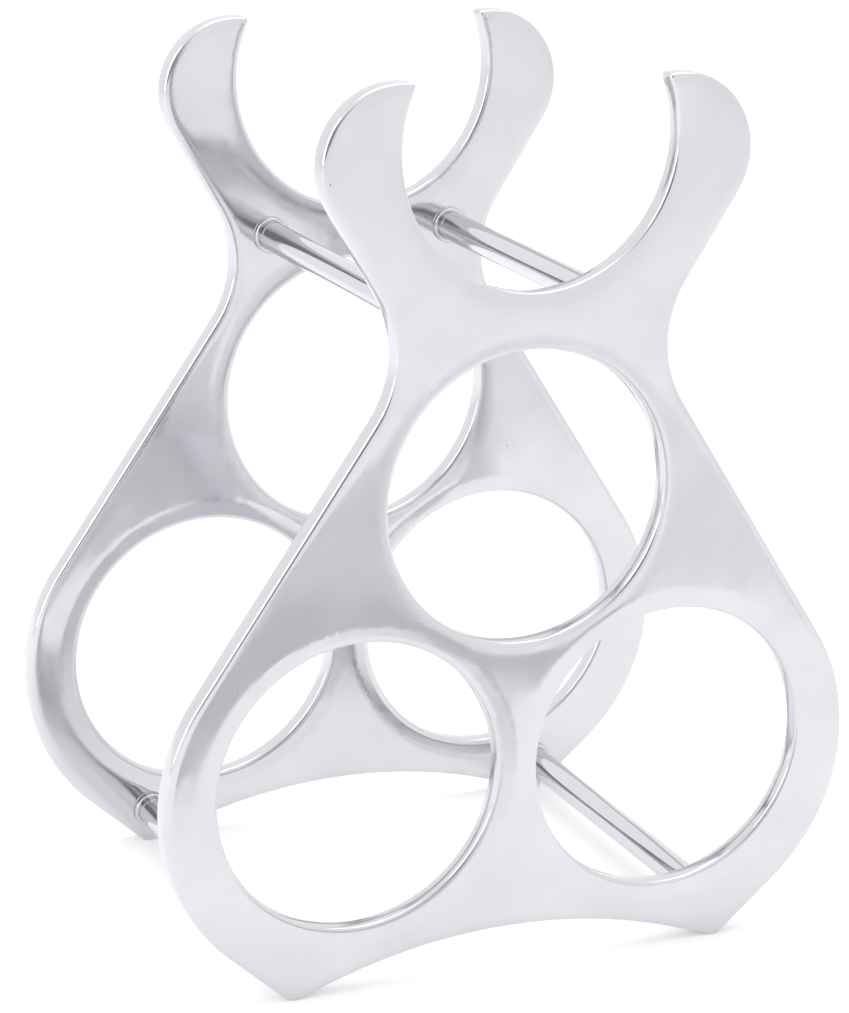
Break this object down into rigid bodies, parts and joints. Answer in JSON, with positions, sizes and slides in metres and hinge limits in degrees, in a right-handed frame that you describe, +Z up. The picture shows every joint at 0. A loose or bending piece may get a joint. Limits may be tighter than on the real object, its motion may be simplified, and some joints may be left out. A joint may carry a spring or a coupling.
{
  "type": "wine rack",
  "caption": "Free-standing polished metal rack for wine bottles: matching front and rear plates with round holes and an open top cradle, joined by round rods.",
  "frame": {"origin": "on the standing surface, under the middle of the rack", "axes": "+X across the plates, to the right as seen from the front; +Y from the front plate to the rear plate; +Z up"},
  "size_m": [0.2388, 0.148, 0.2904],
  "materials": {
    "cast_aluminium": "hand polished casting",
    "aluminium_rod": "mirror polished bar",
    "aluminium_collar": "turned and polished",
    "steel_fastener": "bright plated"
  },
  "bodies": {
    "root": {"front_plate": "cast_aluminium", "rear_plate": "cast_aluminium", "rod_upper_left": "aluminium_rod", "collar_front_upper_left": "aluminium_collar", "collar_rear_upper_left": "aluminium_collar", "stud_upper_left": "steel_fastener", "screw_upper_left": "steel_fastener", "rod_upper_right": "aluminium_rod", "collar_front_upper_right": "aluminium_collar", "collar_rear_upper_right": "aluminium_collar", "stud_upper_right": "steel_fastener", "screw_upper_right": "steel_fastener", "rod_lower_left": "aluminium_rod", "collar_front_lower_left": "aluminium_collar", "collar_rear_lower_left": "aluminium_collar", "stud_lower_left": "steel_fastener", "screw_lower_left": "steel_fastener", "rod_lower_right": "aluminium_rod", "collar_front_lower_right": "aluminium_collar", "collar_rear_lower_right": "aluminium_collar", "stud_lower_right": "steel_fastener", "screw_lower_right": "steel_fastener"}
  },
  "joints": []
}
